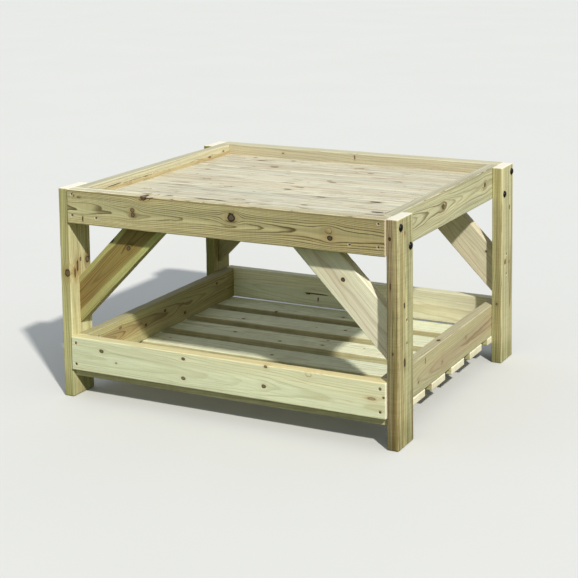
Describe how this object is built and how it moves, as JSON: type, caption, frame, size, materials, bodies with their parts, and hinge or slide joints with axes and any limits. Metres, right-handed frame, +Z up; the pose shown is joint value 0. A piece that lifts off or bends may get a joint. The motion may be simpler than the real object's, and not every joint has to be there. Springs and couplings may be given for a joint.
{
  "type": "sand and water table",
  "caption": "Low rectangular children's play table: softwood posts, rails and diagonal braces around a recessed board deck, with a slatted storage tray near the ground.",
  "frame": {"origin": "on the ground under the centre of the table", "axes": "+X to the right along the long front side, +Y from front to back, +Z up"},
  "size_m": [1.033, 0.86, 0.59],
  "materials": {
    "frame_timber": "planed, pressure-treated softwood with a pale green-brown cast, fine grain and knots, unvarnished",
    "deck_timber": "planed, pressure-treated softwood, pale cream, unvarnished",
    "slat_timber": "planed, pressure-treated softwood, pale cream, unvarnished",
    "black_fixing": "gloss black coated steel",
    "zinc_fixing": "zinc plated steel",
    "wood_screw": "dark yellow-passivated steel screws, heads sunk just below the timber"
  },
  "bodies": {
    "root": {"post_front_left": "frame_timber", "post_front_right": "frame_timber", "post_back_left": "frame_timber", "post_back_right": "frame_timber", "rail_front": "frame_timber", "rail_back": "frame_timber", "rail_left": "frame_timber", "rail_right": "frame_timber", "brace_front_left": "frame_timber", "brace_front_right": "frame_timber", "brace_back_left": "frame_timber", "brace_back_right": "frame_timber", "tray_board_front": "frame_timber", "tray_board_back": "frame_timber", "tray_board_left": "frame_timber", "tray_board_right": "frame_timber", "deck_bearer_left": "frame_timber", "deck_bearer_right": "frame_timber", "deck_batten_centre": "frame_timber", "deck_board_1": "deck_timber", "deck_board_2": "deck_timber", "deck_board_3": "deck_timber", "deck_board_4": "deck_timber", "deck_board_5": "deck_timber", "deck_board_6": "deck_timber", "deck_board_7": "deck_timber", "deck_board_8": "deck_timber", "tray_slat_1": "slat_timber", "tray_slat_2": "slat_timber", "tray_slat_3": "slat_timber", "tray_slat_4": "slat_timber", "tray_slat_5": "slat_timber", "tray_slat_6": "slat_timber", "coach_screws": "black_fixing", "coach_bolts": "black_fixing", "bolt_washers": "zinc_fixing", "bolt_nuts": "zinc_fixing", "rail_screws": "wood_screw", "bearer_screws": "wood_screw", "brace_post_screws": "wood_screw", "brace_rail_screws": "wood_screw", "tray_corner_screws": "wood_screw", "tray_post_screws": "wood_screw", "deck_screws": "wood_screw", "slat_screws": "wood_screw"}
  },
  "joints": []
}
